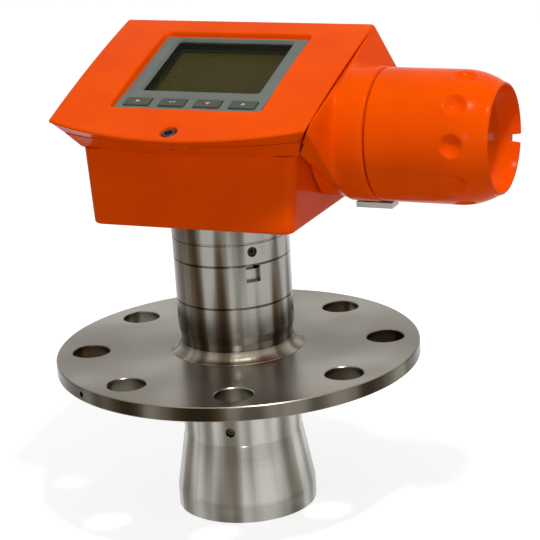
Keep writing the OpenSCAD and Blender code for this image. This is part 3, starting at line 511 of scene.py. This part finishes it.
def cover_outline(t, inset=0.0, radius=1.6):
    """Outline of cover and skirt at the share t of the skirt's depth, as columns of (u, v).

    The front edge is an arc through its two corners and the middle; sides and rear are straight. The outline
    is drawn inset by the radius and moved out again along the normals, which rounds its corners.
    """
    e = inset + radius
    hf, hr = 66.8 - 8.2 * t - e, 67.5 - 8.2 * t - e
    corner, apex, rear = -59 + 7 * t + e, -72 + 15.5 * t + e, 40.2 - 5.8 * t - e
    bow = corner - apex
    arc = (hf * hf + bow * bow) / (2 * bow)
    half = math.asin(hf / arc)
    even = np.linspace(-1, 1, 150, endpoint=False)
    share = even * (0.35 + 0.65 * even ** 2)
    a = half * share
    front = np.stack([arc * np.sin(a), apex + arc - arc * np.cos(a)], -1)
    tilt = math.atan2(rear - corner, hr - hf) - math.pi / 2
    fr, rr, rl, fl = (hf, corner), (hr, rear), (-hr, rear), (-hf, corner)

    def straight(p, q, n):
        return np.array(p) + (np.array(q) - np.array(p)) * np.linspace(0, 1, n, endpoint=False)[:, None]

    base = np.concatenate([front, np.tile(fr, (10, 1)), straight(fr, rr, 40), np.tile(rr, (8, 1)),
                           straight(rr, rl, 60), np.tile(rl, (8, 1)), straight(rl, fl, 40), np.tile(fl, (10, 1))])
    turn = np.concatenate([
        a - math.pi / 2, np.linspace(half - math.pi / 2, tilt, 10, endpoint=False), np.full(40, tilt),
        np.linspace(tilt, math.pi / 2, 8, endpoint=False), np.full(60, math.pi / 2),
        np.linspace(math.pi / 2, math.pi - tilt, 8, endpoint=False), np.full(40, math.pi - tilt),
        np.linspace(math.pi - tilt, 3 * math.pi / 2 - half, 10, endpoint=False)])
    return base + radius * np.stack([np.cos(turn), np.sin(turn)], -1)


def opening_outline(width, length, radius, centre_v):
    """Rounded rectangle with as many columns per side as cover_outline has."""
    a, b = width / 2 - radius, length / 2 - radius
    c = centre_v

    def side(p, q, n, even=True):
        at = np.linspace(0, 1, n, endpoint=False)
        if not even:
            k = 2 * at - 1
            at = (k * (0.35 + 0.65 * k ** 2) + 1) / 2
        return np.array(p) + (np.array(q) - np.array(p)) * at[:, None]

    fl, fr, rr, rl = (-a, c - b), (a, c - b), (a, c + b), (-a, c + b)
    base = np.concatenate([side(fl, fr, 150, False), np.tile(fr, (10, 1)), side(fr, rr, 40), np.tile(rr, (8, 1)),
                           side(rr, rl, 60), np.tile(rl, (8, 1)), side(rl, fl, 40), np.tile(fl, (10, 1))])
    q = math.pi / 2
    turn = np.concatenate([np.full(150, -q), np.linspace(-q, 0, 10, endpoint=False), np.full(40, 0.0),
                           np.linspace(0, q, 8, endpoint=False), np.full(60, q),
                           np.linspace(q, 2 * q, 8, endpoint=False), np.full(40, 2 * q),
                           np.linspace(2 * q, 3 * q, 10, endpoint=False)])
    return base + radius * np.stack([np.cos(turn), np.sin(turn)], -1)


def crown(v):
    """Height of the face's crown at the distance v up the slope: a parabola between the edges."""
    return np.maximum(1.5 * (1 - ((v + 9.4) / 49.6) ** 2), 0)


def head_cover():
    """Display cover as one closed ring stack.

    It runs from the display opening's wall over a sloping frame to the crowned face, rounds over the edge,
    follows the skirt down to the parting line, and comes back inside. The screw's recess lowers the points
    near the screw's line to its floor, and the finger lip moves the skirt's foot out at the middle.
    """
    rings = []

    def ring(outline, w):
        rings.append(np.concatenate([outline, np.zeros((len(outline), 1)) + w if np.ndim(w) == 0
                                     else np.asarray(w)[:, None]], 1))

    wall = opening_outline(77.6, 69.9, 3.0, -10.1)
    for w in (-4.5, -3.4, -2.6, -2.3):
        ring(wall, w)
    lip = opening_outline(80.4, 72.9, 3.4, -9.2)
    for k, w in ((0.2, -2.25), (0.42, -2.2), (0.52, -2.0), (0.62, -1.5), (0.76, -0.7)):
        ring(wall + (lip - wall) * k, w)
    for k, drop in ((0.9, 0.35), (1.0, 0.14), (1.12, 0.03), (1.3, 0.0)):
        at = wall + (lip - wall) * k
        ring(at, crown(at[:, 1]) - drop)
    inner = wall + (lip - wall) * 1.3
    edge = cover_outline(0.0, 0.8)
    for k in np.linspace(0, 1, 46)[1:]:
        at = inner + (edge - inner) * k
        ring(at, crown(at[:, 1]))
    top = crown(edge[:, 1])
    for a in np.linspace(0, math.pi / 2, 8)[1:]:
        ring(cover_outline(0.0, 0.8 - 1.0 * math.sin(a)), top - 1.1 * (1 - math.cos(a)))
    foot_w = -COVER_T * 17.4
    last = rings[-1][:, 2]
    for k in np.linspace(0, 1, 15)[1:]:
        t = 0.03 + (COVER_T - 0.03 - 0.03) * k
        w = last + (foot_w + 0.45 - last) * k
        ring(cover_outline(t, -0.2 + 0.2 * k), w)
    ring(cover_outline(COVER_T - 0.01, 0.12), foot_w + 0.12)
    ring(cover_outline(COVER_T, 0.5), foot_w)
    ring(cover_outline(COVER_T, 2.2, 1.0), foot_w)
    under = opening_outline(105.6, 78.0, 4.0, -8.5)
    for w in (foot_w, -6.5, -4.5):
        ring(under, w)
    ring(under + (wall - under) * 0.5, -4.5)
    rings.append(rings[0])
    stack = np.array(rings)
    u, v, w = stack[..., 0], stack[..., 1], stack[..., 2]

    lower = np.zeros(stack.shape[:2], bool)
    lower[-12:-6] = True
    reach = (1 - smooth(np.abs(u + 3), 11.0, 12.4)) * lower * (v < -40)
    v = v - 1.5 * reach * smooth(-w, 6.2, 7.4)

    away = np.hypot(u, v - SCREW_V)
    outside = np.zeros(stack.shape[:2], bool)
    outside[8:-7] = True
    recess = 0.25 * (1 - smooth(away, 4.3, 5.4)) + 2.6 * (1 - smooth(away, 3.9, 4.35))
    w = np.where(outside & (w > -5), w - recess, w)
    points = on_face(u, v, w)
    points[..., 2] = np.minimum(points[..., 2], 165.98)  # the rear edge keeps to the part's overall height
    return surface("cover_dressed", "cover", [points], "orange_paint", sharp=50)


def cover_screw():
    """Captive screw, turned round its own line: a low head with a hexagonal socket, rounded at its rim.

    The half section is carried round; near the socket the radius follows a hexagon, which is the inner radius
    over the cosine of the angle to the nearest flat.
    """
    half = np.array([(0.0, -1.9), (1.7, -1.9), (1.75, -1.2), (1.8, -0.75), (2.1, -0.58), (2.6, -0.55), (3.1, -0.62),
                     (3.4, -0.85), (3.5, -1.2), (3.5, -3.6), (2.0, -3.6), (2.0, -9.0), (0.0, -9.0)])
    th = np.linspace(0, TAU, 72, endpoint=False)
    flat = 1 / np.cos((th + math.pi / 6) % (math.pi / 3) - math.pi / 6)
    r = half[:, :1] * np.where(half[:, :1] < 2, flat, 1.0)
    r = np.where(half[:, 1:] < -3, half[:, :1], r)
    points = on_face(r * np.cos(th), SCREW_V + r * np.sin(th), half[:, 1:] + 0 * th)
    return surface("cover_screw_dressed", "cover", [points], "screw_dark", replaces=("cover_screw",), sharp=30)


def hinge_knuckle(u, width, arm_low, arm_high, reach):
    """Knuckle and its arm as a profile in (v, w) carried across: a circle whose one side runs on into an arm."""
    a = np.linspace(-math.pi / 2, math.pi / 2, 25)
    r = 3.15
    barrel = np.stack([HINGE_V + r * np.cos(a), HINGE_W + r * np.sin(a)], -1)
    arm = np.array([(HINGE_V - reach, HINGE_W + arm_high), (HINGE_V - reach, HINGE_W + arm_low)])
    loop = np.concatenate([barrel, along(np.concatenate([[barrel[-1]], arm, [barrel[0]]]), 1.5)[1:-1]])
    centre = loop.mean(0)
    rows = []
    for at, grow in ((-0.5, 0.0), (-0.5, 0.9), (-0.48, 1.0), (0.48, 1.0), (0.5, 0.9), (0.5, 0.0)):
        flat = centre + (loop - centre) * grow
        rows.append(on_face(u + at * width, flat[:, 0], flat[:, 1]))
    return np.array(rows)


def face_stack(rings):
    """Closed ring stack in the cover's frame: each ring is an outline of (u, v) at its height w, and the last
    ring leads back to the first."""
    rows = [on_face(outline[:, 0], outline[:, 1], w) for outline, w in rings]
    return np.array(rows + rows[:1])


def display_bezel():
    """Frame of the display: a plate with a rounded border, and four key openings.

    One ring stack makes the frame round the window, from its flange over the border and down the slope of the
    opening. The key strip below it is a sheet that fills the stack's lower side, split at the keys, each part
    a ring stack between a rectangle of the strip and the key's opening.
    """
    low = -45.15
    split = -28.6
    top, left = 24.55, 38.5
    window = lambda grow, r: rounded(61.8 + 2 * grow, 47.8 + 2 * grow, r, (0, -1.95), 24, 8)
    middle, length = (top + split) / 2, top - split
    outer = lambda grow, r: rounded(2 * left + 2 * grow, length + 2 * grow, r, (0, middle), 24, 8)
    frame_ring = face_stack([
        (outer(2.4, 2.0), -6.3), (outer(2.4, 2.0), -4.7), (outer(0, 0.3), -4.7), (outer(0, 0.3), -1.3),
        (outer(-0.18, 0.3), -0.95), (outer(-0.5, 0.3), -0.8), (window(1.6, 2.4), -0.8), (window(1.3, 2.2), -0.86),
        (window(0.1, 1.5), -2.05), (window(0.0, 1.5), -2.3), (window(0.0, 1.5), -2.6), (window(1.5, 1.5), -2.6),
        (window(1.5, 1.5), -6.3)])
    strips = []
    edges = [-left, -18.6, 0.0, 18.6, left]
    for k, centre in enumerate(KEY_PLACES):
        a, b = edges[k], edges[k + 1]
        hole = lambda grow, r: rounded(14.1 + 2 * grow, 7.4 + 2 * grow, r, (centre, KEY_V), 24, 8)
        cell = rounded(b - a, split - low + 0.4, 0.04, ((a + b) / 2, (split + low) / 2 + 0.2), 24, 8)
        strips.append(face_stack([
            (cell, -6.3), (cell, -0.8), (hole(0.45, 1.0), -0.8), (hole(0.12, 0.8), -0.92),
            (hole(0, 0.7), -1.25), (hole(0, 0.7), -6.3)]))
    piece = surface("bezel_dressed", "cover", [frame_ring] + strips, "grey_plastic",
                    replaces=("display_bezel",), sharp=30)
    screen = rounded(57.6, 42.4, 0.8, (0.3, -2.95), 24, 8)
    # The sheet below lines the window's inner walls and lies over the screen's border. It is near-black: painted shade
    # of the recess round the screen.
    shade = face_stack([
        (window(-0.02, 1.5), -4.3), (window(1.2, 1.5), -4.3), (window(1.2, 1.5), -6.36), (screen, -6.36),
        (screen, -6.2),
        (window(-0.4, 1.2), -6.1)])
    shade_sheet = surface("window_shade_sheet", "cover", [shade], finish=WINDOW_PAINTED_SHADE, sharp=30)
    return piece


def key_symbol(kind):
    """Outline of a plain symbol, in millimetres round its centre: a triangle, or the bent arrow of an enter key."""
    if kind == "enter":
        return np.array([(-1.9, 0.0), (-0.7, -0.75), (-0.7, -0.3), (1.5, -0.3), (1.5, 0.75), (0.95, 0.75),
                         (0.95, 0.2), (-0.7, 0.2), (-0.7, 0.75)])
    turn = {"right": 0, "up": 90, "down": -90}[kind]
    a = np.radians(np.array([0, 120, 240]) + turn)
    return 1.35 * np.stack([np.cos(a) * 1.15, np.sin(a)], -1)


def key_cap(index, centre, kind):
    """Key: a rounded block whose top is dished and whose edges are broken, with its symbol raised on top."""
    block = lambda grow, r: rounded(13.5 + 2 * grow, 6.8 + 2 * grow, r, (centre, KEY_V), 16, 6)
    top = -0.25
    stack = [(block(0.0, 0.7), -7.0), (block(0.0, 0.7), top - 0.42), (block(-0.1, 0.65), top - 0.14),
             (block(-0.38, 0.5), top), (block(-1.2, 0.4), top - 0.02), (block(-2.6, 0.3), top - 0.1),
             (block(-3.39, 0.005), top - 0.12)]
    rows = np.array([on_face(o[:, 0], o[:, 1], w) for o, w in stack])
    bottom = rows[:1].mean(1, keepdims=True) + 0 * rows[:1]
    piece = surface("key_%d_dressed" % index, "key_" + "abcd"[index - 1], [np.concatenate([bottom, rows])],
                    "key_plastic", replaces=("key_%d" % index,), sharp=45)
    shape = key_symbol(kind)
    mid = shape.mean(0)
    levels = []
    for scale, w in ((0.0, -0.5), (1.0, -0.5), (1.0, -0.24), (0.86, -0.2), (0.0, -0.2)):
        flat = mid + (shape - mid) * scale
        levels.append(on_face(centre + flat[:, 0], KEY_V + flat[:, 1], w))
    symbol = surface("key_%d_symbol" % index, "key_" + "abcd"[index - 1], [np.array(levels)], finish=KEY_PRINT)
    return piece


display_bezel()
for number, (place, kind) in enumerate(zip(KEY_PLACES, ("right", "enter", "down", "up")), 1):
    key_cap(number, place, kind)


# ------------------------------------------------------------------ housing casting

RIM_T = 0.5144
BOSS_CORNERS = [  # angle from the top over the front, and the point in the part's frame
    (72, on_face(67.75, -50.0, -0.5)), (132, on_face(67.5, -57.5, -3.0)), (152, on_face(59.2, -52.3, -17.4)),
    (160, (56.0, -24.8, 110.0)), (168, (56.0, -19.8, 101.5)), (177, (55.5, -12.0, 93.0)), (187, (55.0, 0.0, 88.6)),
    (215, (55.0, 18.8, 92.0)), (250, (55.0, 33.8, 104.0)), (300, on_face(64.5, 36.2, -10.0)),
    (335, on_face(68.45, 38.7, -0.5)), (432, on_face(67.75, -50.0, -0.5)),
]


def housing_body():
    """Drafted box with its skirt, as one closed ring stack.

    Outside, a rounded rectangle rises from the bottom to the sloping skirt, ruled between the two; the skirt
    widens from there to the parting line. Inside, the gasket's groove and the hollow lead down to the floor
    and out through the round hole over the neck.
    """
    flat = lambda outline, z: np.concatenate([outline, np.full((len(outline), 1), float(z))], 1)
    sloped = lambda outline, w: on_face(outline[:, 0], outline[:, 1], w)
    box = lambda e, r=5.0: opening_outline(106.4 - 2 * e, 83.5 - 2 * e, r - e / 2, -4.25)
    mouth = lambda e: opening_outline(108 + 2 * e, 80.9 + 2 * e, 4 + e, -8.55)
    hole = opening_outline(33, 33, 16.49, 0.0)
    rows = [flat(hole, 80.7), flat(box(6.0), 80.7)]
    for a in np.linspace(0, math.pi / 2, 6):
        rows.append(flat(box(1.6 * (1 - math.sin(a))), 82.3 - 1.6 * math.cos(a)))
    foot, head = rows[-1], sloped(opening_outline(113.2, 86.4, 5.0, -8.8), -17.4)
    for k in np.linspace(0, 0.93, 12)[1:]:
        rows.append(foot + (head - foot) * k)
    rows.append(foot + (head - foot) * 0.952
                + 0.12 * (sloped(cover_outline(1.12), -19.5) - foot - (head - foot) * 0.952))
    for t, e in ((1.13, 0.35), (1.11, 0.08), (1.08, 0.0), (1.0, 0.0), (0.92, 0.0), (0.84, 0.0), (0.76, 0.0),
                 (0.68, 0.0), (0.6, 0.0), (0.545, 0.0), (0.53, 0.04), (0.52, 0.14), (RIM_T, 0.45)):
        rows.append(sloped(cover_outline(t, e), -17.4 * t))
    for e, w in ((4.0, -8.95), (4.0, -9.95), (1.6, -9.95), (1.6, -8.95), (0.4, -8.95), (0.1, -9.1), (0.0, -9.4)):
        rows.append(sloped(mouth(e), w))
    top, floor = rows[-1], flat(opening_outline(99.2, 76.3, 4.0, -4.25), 85.6)
    for k in np.linspace(0, 1, 8)[1:]:
        rows.append(top + (floor - top) * k)
    rows += [flat(opening_outline(98.4, 75.5, 4.0, -4.25), 84.6), flat(opening_outline(96.6, 73.7, 4.0, -4.25), 84.3),
             flat(opening_outline(60, 50, 8.0, 0.0), 84.3), flat(hole, 84.3)]
    return np.array(rows + rows[:1])


def boss_and_collar():
    """Flared boss and round collar, as one closed ring stack round the compartment's axis.

    The boss runs from a polygon on the box to the collar's circle along cubic curves that leave the polygon
    towards the circle and arrive along the axis. The collar goes on to the groove, the thread's spigot has a
    wave of the thread's pitch, and the chamber leads back inside.
    """
    corner_a = np.array([a for a, p in BOSS_CORNERS], float)
    corner_p = np.array([p for a, p in BOSS_CORNERS], float)
    degrees = np.concatenate([np.linspace(a, b, max(3, int((b - a) / 1.6)), endpoint=False)
                              for a, b in zip(corner_a[:-1], corner_a[1:])])
    th = np.radians(degrees)
    edge = np.stack([np.interp(degrees, corner_a, corner_p[:, k]) for k in range(3)], -1)
    circle = lambda x, r: np.stack([x + 0 * th, -r * np.sin(th), AXIS_Z + r * np.cos(th)], -1)
    c, s = math.cos(FACE_TILT), math.sin(FACE_TILT)
    v = edge[:, 1] * c + (edge[:, 2] - FACE_Z) * s
    w = -edge[:, 1] * s + (edge[:, 2] - FACE_Z) * c
    high = smooth(w, -9.5, -8.5)[:, None]
    lip = edge - high * np.array([0.6, 0, 0])
    parting = edge + high * (on_face(63.1, v, -9.3) - edge)
    pole = np.array([56.0, -4.0, 120.0]) + 0 * edge
    rows = [pole, parting, parting + (lip - parting) * 0.5, lip, edge]
    end = circle(72.0, 32.5)
    out, arrive = 0.75 * (end - edge), np.array([9.0, 0, 0])
    for t in np.linspace(0, 1, 22)[1:]:
        rows.append((2 * t ** 3 - 3 * t ** 2 + 1) * edge + (t ** 3 - 2 * t ** 2 + t) * out
                    + (3 * t ** 2 - 2 * t ** 3) * end + (t ** 3 - t ** 2) * arrive)
    section = [(75.0, 32.5), (80.0, 32.5), (84.4, 32.5), (84.75, 32.4), (85.1, 32.1), (85.35, 31.75), (85.5, 31.5),
               (85.5, 28.6)]
    section += [(86.4 + k * 0.5, 28.35 + 0.22 * math.cos(TAU * k / 3)) for k in range(19)]
    section += [(96.6, 28.2), (97.0, 27.7), (97.0, 25.9), (96.6, 25.5), (70.5, 25.5), (70.5, 0.0)]
    rows += [circle(x, r) for x, r in section]
    return np.array(rows)


def entry_pads():
    """Two threaded cable entries on the rear, and the fairing from them to the cover's corner.

    Each entry is a stack round its own line: outside half round, half square, so that the two meet flat, and
    inside a bore with a thread's wave. The fairing is ruled between a front and a rear section.
    """
    th = np.radians(np.arange(0, 360, 5))
    stacks = []
    for z, way in ((125.0, 1), (101.0, -1)):
        round_side = np.sin(th) * way >= 0
        block = np.where(round_side, 12.0, 12.0 / np.maximum(np.abs(np.cos(th)), np.abs(np.sin(th))))
        line = [(2.0, 0.0, 0.0), (2.0, 1.0, 0.0), (20.0, 1.0, 0.0), (41.7, 1.0, 0.0), (42.2, 1.0, -0.2),
                (42.5, 1.0, -0.7)]
        bore = [(42.5, 10.8), (42.3, 10.5), (41.9, 10.25)]
        bore += [(41.9 - 0.5 * k, 10.3 + 0.2 * math.cos(TAU * k / 3)) for k in range(1, 26)]
        bore += [(28.5, 10.0), (28.5, 7.8), (10.0, 7.8), (10.0, 0.0)]
        ring = lambda y, r: np.stack([73.4 + r * np.cos(th), y + 0 * th, z + r * np.sin(th)], -1)
        stacks.append(np.array([ring(y, block * k + e) for y, k, e in line] + [ring(y, r) for y, r in bore]))
    angle = np.radians([28, 8, -20, -60, -90, -120, -160, -172, 168])
    reach = np.array([12, 12, 9, 7, 7, 7, 9, 12, 12])
    sections = []
    for y, ty, tz in ((0.5, 6.0, 154.4), (42.0, 36.9, 165.0)):
        arc = np.stack([73.4 + reach * np.cos(angle), np.full(9, y), 125 + reach * np.sin(angle)], -1)
        tip = np.array([(68.1, ty, tz - 0.3), (68.25, ty, tz), (68.4, ty, tz)])
        sections.append(np.concatenate([arc, tip])[::-1])
    middle = [sections[0] + (sections[1] - sections[0]) * k for k in (0.0, 0.02, 0.98, 1.0)]
    ends = [m.mean(0) + 0 * m for m in (middle[0], middle[-1])]
    stacks.append(np.array([ends[0]] + middle + [ends[1]]))
    return stacks


def posts():
    """Four round posts that carry the main board, each a short turned stack."""
    th = np.linspace(0, TAU, 20, endpoint=False)
    stacks = []
    for x in (-38, 38):
        for y in (-22.9, 22.9):
            line = [(84.0, 0.0), (84.0, 3.8), (85.0, 3.1), (104.4, 3.0), (104.7, 2.7), (104.7, 0.0)]
            stacks.append(np.array([np.stack([x + r * np.cos(th), y + r * np.sin(th), z + 0 * th], -1)
                                    for z, r in line]))
    return stacks


cover_screw()
cover = head_cover()
surface("cover_knuckles", "cover", [hinge_knuckle(u, 11.8, 0.6, 3.2, 6.0) for u in HINGE_PLACES], "orange_paint")
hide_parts("head_cover")
head_hinges = [hinge_knuckle(u + side * 9.3, 5.8, -3.2, -0.4, 9.0) for u in HINGE_PLACES for side in (-1, 1)]
surface("housing_dressed", "head", [housing_body(), boss_and_collar()] + entry_pads() + posts() + head_hinges,
        "orange_paint", replaces=("head_housing", "terminal_collar"), sharp=34)


# ------------------------------------------------------------------ stage, light and camera

def backdrop():
    """A wide pale floor below the horn; its own colour stays while the lamps are low."""
    size = 4.0
    mesh = bpy.data.meshes.new("floor")
    z = MOUTH_Z * MM - 0.0002
    mesh.from_pydata([(-size, -size, z), (size, -size, z), (size, size, z), (-size, size, z)], [], [(0, 1, 2, 3)])
    floor = bpy.data.objects.new("floor", mesh)
    bpy.context.collection.objects.link(floor)
    f = Finish("floor_pale", Base_Color=(0.6, 0.6, 0.6, 1), Roughness=0.9, Specular_IOR_Level=0.1,
               Emission_Strength=1.0)
    seen = f.node("ShaderNodeLightPath", {})
    for other in (3, 6):  # metal and glass show the same floor
        ray = f.node("ShaderNodeLightPath", {}, out=other)
        seen = f.node("ShaderNodeMath", {"operation": "MAXIMUM"}, seen, ray)
    f.feed("Emission Color", f.mix(seen, (0, 0, 0, 1), (0.76, 0.76, 0.76, 1)))
    floor.data.materials.append(f.material)


def lamp(name, place, target, size, power, colour=(1, 1, 1)):
    """Area lamp at place, aimed at target, both in millimetres."""
    light = bpy.data.lights.new(name, "AREA")
    light.shape = "RECTANGLE"
    light.size, light.size_y = size[0] * MM, size[1] * MM
    light.energy = power
    light.color = colour
    body = bpy.data.objects.new(name, light)
    bpy.context.collection.objects.link(body)
    at = Vector(place) * MM
    aim = (Vector(target) * MM - at).normalized()
    body.matrix_world = Matrix.Translation(at) @ aim.to_track_quat("-Z", "Y").to_matrix().to_4x4()


def camera():
    """Long lens a little above the head, turned to the head's right, with a slight roll."""
    azimuth, elevation, roll = map(math.radians, (24.35, 16.81, -3.6))
    back = Vector((math.sin(azimuth) * math.cos(elevation),
                   -math.cos(azimuth) * math.cos(elevation), math.sin(elevation)))
    across = Vector((math.cos(azimuth), math.sin(azimuth), 0))
    up = back.cross(across)
    right = math.cos(roll) * across + math.sin(roll) * up
    top = -math.sin(roll) * across + math.cos(roll) * up
    place = (1129 * back + 15.8 * right + 44.6 * top) * MM
    lens = bpy.data.cameras.new("camera")
    lens.lens = 147.5
    lens.sensor_width = 36
    lens.clip_end = 20
    eye = bpy.data.objects.new("camera", lens)
    bpy.context.collection.objects.link(eye)
    turn = Matrix((right, top, back)).transposed()
    eye.matrix_world = Matrix.Translation(place) @ turn.to_4x4()
    bpy.context.scene.camera = eye


def world(strength=0.30):
    """Even pale surroundings; what the camera, metal and glass see of them is white."""
    w = bpy.data.worlds.new("surroundings")
    bpy.context.scene.world = w
    w.use_nodes = True
    tree = w.node_tree
    tree.nodes.clear()
    path = tree.nodes.new("ShaderNodeLightPath")
    seen = tree.nodes.new("ShaderNodeBackground")
    seen.inputs["Color"].default_value = (1, 1, 1, 1)
    seen.inputs["Strength"].default_value = 1.0
    ambient = tree.nodes.new("ShaderNodeBackground")
    ambient.inputs["Color"].default_value = (1, 1, 1, 1)
    ambient.inputs["Strength"].default_value = strength
    pick = tree.nodes.new("ShaderNodeMixShader")
    out = tree.nodes.new("ShaderNodeOutputWorld")
    shown = path.outputs["Is Camera Ray"]
    for ray in ("Is Glossy Ray", "Is Transmission Ray"):
        either = tree.nodes.new("ShaderNodeMath")
        either.operation = "MAXIMUM"
        tree.links.new(shown, either.inputs[0])
        tree.links.new(path.outputs[ray], either.inputs[1])
        shown = either.outputs[0]
    tree.links.new(shown, pick.inputs[0])
    tree.links.new(ambient.outputs[0], pick.inputs[1])
    tree.links.new(seen.outputs[0], pick.inputs[2])
    tree.links.new(pick.outputs[0], out.inputs[0])


backdrop()
world()
lamp("key", (420, -380, 1250), (20, 0, 80), (160, 120), 11)
lamp("fill", (500, -1100, 420), (30, 0, 100), (62, 52), 1.8)
camera()
bpy.context.scene.view_settings.view_transform = "Standard"
